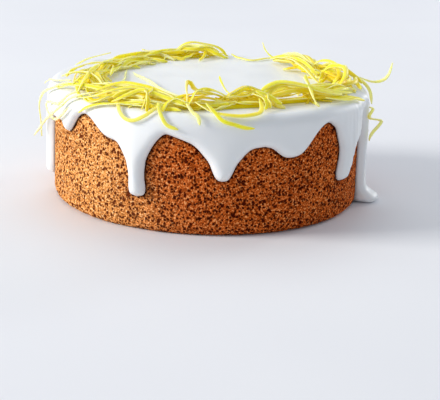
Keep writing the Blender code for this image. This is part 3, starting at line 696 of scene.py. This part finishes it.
# Strips that hang or stand clear of the heap: knots of azimuth, radius and height, in degrees and mm.
# The first knots of most lie within the heap.
LOOSE_STRIPS = (
    ((-40, 92, 82), (-46, 101, 80.5), (-52, 107.3, 76.3), (-58, 110.5, 67.5), (-66, 113, 57), (-78, 116, 41)),
    ((-62, 96, 81), (-66, 102, 79.8), (-69, 106.5, 76.5), (-76, 110.5, 70.5), (-81, 112.5, 61), (-84, 111.5, 48),
     (-85, 111, 37)),
    ((-52, 101, 80), (-55, 106, 77), (-59, 109.4, 70), (-66, 109.5, 68.5), (-72, 109.7, 65), (-69, 109.6, 60),
     (-62, 109.4, 58.8), (-57, 109.2, 63.4), (-52.5, 108.8, 70)),
    ((-68, 95, 81), (-75, 102.4, 78.8), (-80, 105.6, 77.6), (-84, 109, 73.5)),
    ((-46.5, 108.6, 69), (-43, 108, 73.4), (-38, 105.4, 76.8), (-33, 103.2, 78.1), (-26, 101, 79.5), (-18, 97, 82)),
    ((-34, 96, 82), (-32.5, 100.5, 80), (-31, 103.6, 78.3), (-29, 107.4, 75), (-26.5, 108.9, 71.8),
     (-23.5, 109, 71.2), (-20, 107.6, 74.4), (-17.6, 104, 78), (-15, 99, 81)),
    ((-17.5, 94, 80.5), (-16.4, 100.5, 80.6), (-15.6, 103.4, 78.2), (-14, 107.5, 74.8), (-12, 109, 70.6),
     (-8.3, 109.1, 68.3)),
    ((-7, 96, 82), (-5.4, 100.5, 80), (-4.4, 103, 78.3), (-2.4, 106.2, 76.5), (-1.6, 108.8, 71.8)),
    ((-4, 96, 83), (0, 100.5, 80.4), (3, 102.8, 78.5), (6.8, 105, 77.7), (11.2, 105.8, 77.2), (15.2, 105.2, 77.6),
     (18.6, 102.8, 78.5), (20.5, 97, 80.5), (21, 90, 84)),
    ((0, 98, 83), (3, 104, 79), (5.6, 108.4, 74.8), (9.4, 109, 72.6), (12.6, 109.2, 70.8), (15.8, 109.2, 70.2)),
    ((50, 97, 81.5), (56, 100.5, 79.5), (61, 102.6, 78.4), (66, 104.4, 77.7), (70, 107.6, 75.2)),
    ((106, 94, 83), (101, 99, 80.6), (97, 102.6, 79), (93.5, 105.6, 77.4), (90, 108.4, 73.4), (86, 109.4, 67)),
    ((80, 108.4, 67), (81.5, 110.6, 65.4), (80.5, 108.8, 62), (81, 108.8, 59.2), (82, 113, 58.2), (83, 116.6, 57),
     (82.5, 114.8, 53.8), (81.5, 111.6, 50), (81, 109.8, 46.4), (81, 109.4, 43.8)),
    ((112, 92, 84), (106, 98, 81), (101, 104.6, 79), (97, 110, 78), (95, 114.4, 78.6), (93.5, 118.4, 81),
     (92.5, 121, 85.4), (91.5, 122.4, 93)),
    ((170, 86, 80), (167, 83, 78.6), (163.8, 81, 78.4), (160, 78.5, 78.2), (156.5, 81, 78.2), (154.5, 91, 78.2),
     (150, 96, 79)),
    ((141, 90, 81), (147, 95, 78.4), (153, 98, 78.6), (156, 97.5, 83), (157.5, 97, 88.5)),
    ((182, 84, 84), (183, 80, 82.4), (183.5, 76, 80), (185, 71, 78.8), (187, 65.5, 78.2)),
    ((112, 94, 82), (115, 99, 80.2), (118, 102.8, 78.6), (121, 106.8, 76.4), (122, 110, 70), (124.5, 110.2, 64)),
    ((212, 94, 82), (209, 99, 80), (206, 103, 78.4), (203, 107.4, 75.4), (199.5, 109.2, 70.6), (194, 109.2, 69)),
    ((229, 94, 82), (233, 99, 80), (236, 102.8, 78.5), (239, 107, 75.6), (243, 110.2, 71), (247, 109, 68.8)),
)


EDGEWISE = {11: 1.2, 12: 1.57}      # these stand on edge against the shoulder or wall, turned by so much
PALE_PITH_AND_LIGHT = {0: 1.18, 1: 1.1, 2: 1.18, 3: 1.18, 5: 0.4, 6: 0.3, 7: 0.85, 12: 0.2, 13: 0.3}     # these show their pith; on strips 0 to 3, on the lit left, the paleness is painted light
THIN = {0: 0.6, 1: 0.7, 2: 0.7, 3: 0.6, 4: 0.85, 5: 0.85, 7: 0.85, 8: 1.3, 14: 0.6, 19: 0.8}


def smooth_line(knots, per_span=10):
    """A Catmull-Rom line through the knots."""
    padded = np.concatenate([[2 * knots[0] - knots[1]], knots, [2 * knots[-1] - knots[-2]]])
    line = []
    for a, b, c, d in zip(padded, padded[1:], padded[2:], padded[3:]):
        t = (np.arange(per_span) / per_span)[:, None]
        line.append(0.5 * (2 * b + (c - a) * t + (2 * a - 5 * b + 4 * c - d) * t ** 2
                           + (3 * b - a - 3 * c + d) * t ** 3))
    return np.concatenate(line + [knots[-1:]])


def outward(points):
    """Away from the skin: up over the flat, sideways beside the wall, and between the two on the shoulder."""
    radius = np.hypot(points[:, 0], points[:, 1])[:, None]
    away = np.concatenate([points[:, :2], np.zeros((len(points), 1))], 1)
    away = away * np.clip(1 - FLAT_RADIUS / np.maximum(radius, 1e-9), 0, None)
    away[:, 2] = np.clip(points[:, 2] - WALL_TOP, 1e-6, None)
    return away / np.linalg.norm(away, axis=1)[:, None]


def make_loose(pile, material):
    draw = random.Random(5)
    strips = Strips()
    for number, knots in enumerate(LOOSE_STRIPS):
        knots = np.array(knots, float)
        line = resampled(smooth_line(at(knots[:, 0], knots[:, 1] * MM, knots[:, 2] * MM)), 1.4 * MM)
        share = np.linspace(-1, 1, len(line))
        tilt = draw.uniform(-0.2, 0.2) + share * draw.uniform(-0.35, 0.35)
        tilt = tilt + EDGEWISE.get(number, 0)
        width = draw.uniform(2.2, 2.9) * THIN.get(number, 1) * MM
        strips.add(line, width, draw.uniform(0.7, 0.9) * MM, tilt, draw.uniform(-1, 1), outward(line),
                   PALE_PITH_AND_LIGHT.get(number, 0))
    return strips.make("zest_loose", material, pile)


def make_core(material):
    """The hidden middle of the heap: a low ring with strip-like ridges, smaller than the heap."""
    stations = 260
    sides = 28
    azimuth = np.linspace(WREATH_START + 8, WREATH_END - 8, stations)
    points = []
    for k, place in enumerate(azimuth):
        end = min(k, stations - 1 - k) / 12
        size = math.sqrt(min(end, 1)) if end < 1 else 1
        turn = np.linspace(0, 2 * math.pi, sides, endpoint=False)
        ridge = 1 + 0.1 * np.sin(turn * 9 + place * 0.35) + 0.05 * np.sin(turn * 4 - place * 0.2)
        across = wreath_middle(place) + 4.5 * MM * size * np.cos(turn) * ridge
        rise = TOP_Z + np.clip(1.5 * MM * size * (0.4 + np.sin(turn)) * ridge, -0.2 * MM, None)
        points.append(at(place, across, rise))
    numbers = np.arange(stations * sides).reshape(stations, sides)
    faces = []
    for first, second in zip(numbers, numbers[1:]):
        faces += strips_between(first, second)
    faces.append(tuple(numbers[0][::-1]))
    faces.append(tuple(numbers[-1]))
    points = np.concatenate(points)
    zeros = np.zeros(len(points))
    # The hidden core is given a fixed share of painted shade.
    return closed_up(make_object("zest_core", points, faces, material,
                                 attributes={"tone": zeros, "pith": zeros, "deep": zeros + 0.6}))


# ---------------------------------------------------------------- materials

class Nodes:
    """Short ways to build a node material around its Principled shader."""

    def __init__(self, name):
        self.material = bpy.data.materials.new(name)
        self.material.use_nodes = True
        self.tree = self.material.node_tree
        self.shader = self.tree.nodes["Principled BSDF"]

    def new(self, kind, **settings):
        node = self.tree.nodes.new(kind)
        for key, value in settings.items():
            setattr(node, key, value)
        return node

    def link(self, source, target):
        self.tree.links.new(source, target)

    def set(self, **values):
        for key, value in values.items():
            self.shader.inputs[key.replace("_", " ")].default_value = value

    def place(self):
        return self.new("ShaderNodeTexCoord").outputs["Object"]

    def noise(self, scale, detail=2.0, roughness=0.5, vector=None):
        node = self.new("ShaderNodeTexNoise")
        node.inputs["Scale"].default_value = scale
        node.inputs["Detail"].default_value = detail
        node.inputs["Roughness"].default_value = roughness
        self.link(vector or self.place(), node.inputs["Vector"])
        return node.outputs["Fac"]

    def cells(self, scale, vector=None, feature="F1"):
        node = self.new("ShaderNodeTexVoronoi", feature=feature)
        node.inputs["Scale"].default_value = scale
        self.link(vector or self.place(), node.inputs["Vector"])
        return node.outputs["Distance"]

    def pits(self, scale, least, most, bare):
        """1 in the small round pits at the middle of each cell, and 0 around. A share of the cells stays bare."""
        node = self.new("ShaderNodeTexVoronoi")
        node.inputs["Scale"].default_value = scale
        bent = self.new("ShaderNodeVectorMath", operation="MULTIPLY_ADD")
        wobble = self.new("ShaderNodeTexNoise")
        wobble.inputs["Scale"].default_value = scale * 1.4
        self.link(self.place(), wobble.inputs["Vector"])
        self.link(wobble.outputs["Color"], bent.inputs[0])
        bent.inputs[1].default_value = (0.35 / scale,) * 3
        self.link(self.place(), bent.inputs[2])
        self.link(bent.outputs[0], node.inputs["Vector"])
        channels = self.new("ShaderNodeSeparateColor")
        self.link(node.outputs["Color"], channels.inputs["Color"])
        size = self.math("POWER", self.mapped(channels.outputs["Red"], bare, 1, 0, 1), 0.4)
        edge = self.math("MULTIPLY", size, most)
        near = self.math("SUBTRACT", edge, node.outputs["Distance"])
        return self.mapped(near, 0, most - least)

    def ramp(self, source, stops):
        node = self.new("ShaderNodeValToRGB")
        elements = node.color_ramp.elements
        while len(elements) < len(stops):
            elements.new(0.5)
        for element, (where, colour) in zip(elements, stops):
            element.position = where
            element.color = (*colour, 1) if len(colour) == 3 else colour
        self.link(source, node.inputs["Fac"])
        return node.outputs["Color"]

    def mapped(self, source, low, high, to_low=0.0, to_high=1.0):
        node = self.new("ShaderNodeMapRange")
        for key, value in zip(("From Min", "From Max", "To Min", "To Max"), (low, high, to_low, to_high)):
            node.inputs[key].default_value = value
        self.link(source, node.inputs["Value"])
        return node.outputs["Result"]

    def mix(self, share, first, second, blend="MIX"):
        node = self.new("ShaderNodeMix", data_type="RGBA", blend_type=blend)
        for key, value in ((0, share), (6, first), (7, second)):
            if isinstance(value, (int, float)):
                node.inputs[key].default_value = value
            elif isinstance(value, tuple):
                node.inputs[key].default_value = (*value, 1)
            else:
                self.link(value, node.inputs[key])
        return node.outputs[2]

    def attribute(self, name):
        return self.new("ShaderNodeAttribute", attribute_name=name).outputs["Fac"]

    def math(self, operation, first, second):
        node = self.new("ShaderNodeMath", operation=operation)
        for key, value in ((0, first), (1, second)):
            if isinstance(value, (int, float)):
                node.inputs[key].default_value = value
            else:
                self.link(value, node.inputs[key])
        return node.outputs[0]

    def bump(self, source, distance, strength=1.0):
        node = self.new("ShaderNodeBump")
        node.inputs["Distance"].default_value = distance
        node.inputs["Strength"].default_value = strength
        self.link(source, node.inputs["Height"])
        self.link(node.outputs["Normal"], self.shader.inputs["Normal"])

    def colour(self, source):
        self.link(source, self.shader.inputs["Base Color"])


def sponge_material():
    m = Nodes("sponge_crumb")
    m.set(Roughness=0.9, Specular_IOR_Level=0.03)
    patches = m.noise(60, 3)
    # Painted light: a golden, lighter crumb colour for the side that faces the key light and a darker brown one for the
    # shaded side.
    golden = m.ramp(patches, ((0.3, (0.66, 0.25, 0.06)), (0.7, (0.80, 0.35, 0.095))))
    shaded_side = m.ramp(patches, ((0.3, (0.45, 0.076, 0.008)), (0.7, (0.59, 0.117, 0.013))))
    base = m.mix(m.attribute("golden"), shaded_side, golden)
    # The colour of the light crumb specks, painted lighter on the lit side.
    crumb = m.mix(m.attribute("golden"), (1.0, 0.47, 0.17), (1.0, 0.76, 0.42))
    grain = m.noise(980, 2, 0.6)
    shade = m.ramp(grain, ((0.36, (0.40, 0.30, 0.28)), (0.48, (0.95, 0.92, 0.90)), (0.60, (1.6, 1.6, 1.6))))
    coloured = m.mix(1.0, base, shade, "MULTIPLY")
    coloured = m.mix(m.mapped(grain, 0.56, 0.66, 0, 0.9), coloured, crumb)
    # Painted shade in the pores: the round pits and the pore shade from the mesh are painted a near-black red brown, a
    # little lighter on the lit side.
    small = m.pits(500, 0.40, 0.56, 0.05)
    large = m.pits(310, 0.34, 0.44, 0.5)
    pits = m.math("MAXIMUM", small, large)
    deep = m.math("MAXIMUM", pits, m.mapped(m.attribute("pore"), 0.35, 0.9))
    hollow = m.mix(m.attribute("golden"), (0.06, 0.002, 0.0004), (0.13, 0.02, 0.004))
    coloured = m.mix(m.math("MULTIPLY", deep, 0.97), coloured, hollow)
    # Painted shadow along the icing's edge, near black.
    coloured = m.mix(m.math("MULTIPLY", m.attribute("soak"), 0.95), coloured, (0.03, 0.003, 0.001))
    m.colour(coloured)
    m.bump(m.math("SUBTRACT", grain, m.math("MULTIPLY", pits, 0.9)), 0.0009, 0.8)
    return m.material


def icing_material():
    m = Nodes("white_icing")
    m.set(Roughness=0.3, Subsurface_Weight=0.25, Subsurface_Scale=0.003)
    m.shader.inputs["Subsurface Radius"].default_value = (1.0, 0.9, 0.8)
    tint = m.ramp(m.noise(28, 2), ((0.3, (0.83, 0.85, 0.86)), (0.7, (0.88, 0.895, 0.90))))
    m.colour(tint)
    rough = m.mapped(m.noise(60, 3), 0.3, 0.7, 0.36, 0.48)
    m.link(rough, m.shader.inputs["Roughness"])
    m.bump(m.noise(90, 2), 0.00015, 0.3)
    return m.material


def zest_material():
    m = Nodes("lemon_zest")
    m.set(Roughness=0.36, Subsurface_Weight=0.6, Subsurface_Scale=0.004, Specular_IOR_Level=0.35)
    m.shader.inputs["Subsurface Radius"].default_value = (1.0, 0.75, 0.06)
    tone = m.mapped(m.attribute("tone"), -1, 1)
    rind = m.ramp(tone, ((0.0, (0.78, 0.57, 0.001)), (0.5, (0.84, 0.74, 0.003)), (1.0, (0.88, 0.83, 0.02))))
    mottled = m.mix(m.math("MULTIPLY", m.mapped(m.noise(330, 3), 0.45, 0.7), 0.6), rind, (0.80, 0.52, 0.003))
    # Pale pith, and painted light on the strips on the lit left, where their yellow is washed out.
    pale = m.mix(m.math("MULTIPLY", m.attribute("pith"), 0.85), mottled, (0.92, 0.90, 0.48))
    # Painted shade: strips that lie under others are painted a darker, deeper orange yellow.
    m.colour(m.mix(m.math("MULTIPLY", m.attribute("deep"), 0.9), pale, (0.76, 0.50, 0.001)))
    # Painted light: a faint yellow glow that lifts the shade between the strips, standing in for light that passes
    # through the thin peel.
    m.shader.inputs["Emission Color"].default_value = (1, 0.98, 0, 1)
    m.shader.inputs["Emission Strength"].default_value = 0.085
    m.bump(m.noise(1500, 2), 0.0002, 0.5)
    return m.material


def floor_material():
    m = Nodes("pale_floor")
    m.set(Roughness=0.6)
    m.colour(m.ramp(m.noise(3, 3), ((0.3, (0.78, 0.79, 0.83)), (0.7, (0.82, 0.83, 0.86)))))
    return m.material


# ---------------------------------------------------------------- stage

CAMERA_PLACE = (0.0113, -0.908, 0.2611)
CAMERA_TURN = 0.05
CAMERA_DOWN = 16.39
CAMERA_ROLL = 2.13
CAMERA_LENS = 112.8


def make_camera():
    data = bpy.data.cameras.new("camera")
    data.lens = CAMERA_LENS
    data.sensor_width = 36
    data.clip_start = 0.01
    data.clip_end = 50
    camera = bpy.data.objects.new("camera", data)
    bpy.context.scene.collection.objects.link(camera)
    camera.matrix_world = (
        Matrix.Translation(CAMERA_PLACE)
        @ Matrix.Rotation(math.radians(CAMERA_TURN), 4, "Z")
        @ Matrix.Rotation(math.radians(90 - CAMERA_DOWN), 4, "X")
        @ Matrix.Rotation(math.radians(CAMERA_ROLL), 4, "Z")
    )
    bpy.context.scene.camera = camera


def make_floor():
    side = 6
    corners = [(-side, -side, 0), (side, -side, 0), (side, side, 0), (-side, side, 0)]
    floor = make_object("floor", corners, [(0, 1, 2, 3)], floor_material(), smooth=False)


def area_light(name, place, size, power, colour, aim=(0, 0, 0.04)):
    data = bpy.data.lights.new(name, "AREA")
    data.size = size
    data.energy = power
    data.color = colour
    light = bpy.data.objects.new(name, data)
    bpy.context.scene.collection.objects.link(light)
    light.location = place
    light.rotation_euler = (Vector(aim) - Vector(place)).to_track_quat("-Z", "Y").to_euler()


def make_lights():
    world = bpy.data.worlds.new("studio")
    world.use_nodes = True
    world.node_tree.nodes["Background"].inputs["Color"].default_value = (0.87, 0.925, 1, 1)
    world.node_tree.nodes["Background"].inputs["Strength"].default_value = 0.53
    bpy.context.scene.world = world
    area_light("key", (-2.7, -0.5, 1.24), 1.0, 85, (1, 0.97, 0.93))
    area_light("top", (-0.2, 0.9, 1.5), 1.2, 6, (1, 1, 1))
    area_light("rim", (1.25, 1.2, 0.55), 0.4, 6.5, (1, 1, 1))
    bpy.context.scene.view_settings.view_transform = "Standard"


def main():
    make_camera()
    make_lights()
    make_floor()
    sponge = make_sponge(sponge_material())
    icing = make_icing(icing_material())
    zest = zest_material()
    core = make_core(zest)
    pile = Pile()
    heap = make_heap(pile, zest)
    loose = make_loose(pile, zest)
    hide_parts("sponge")
    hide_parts("icing")
    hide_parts("zest_wreath")
    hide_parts("zest_wreath")
    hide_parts(*[name for name in sorted(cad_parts) if name.startswith("zest_strip")])
    for piece, slot in ((sponge, "sponge"), (icing, "icing"), (core, "zest"), (heap, "zest"), (loose, "zest")):
        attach(piece, "root")


main()
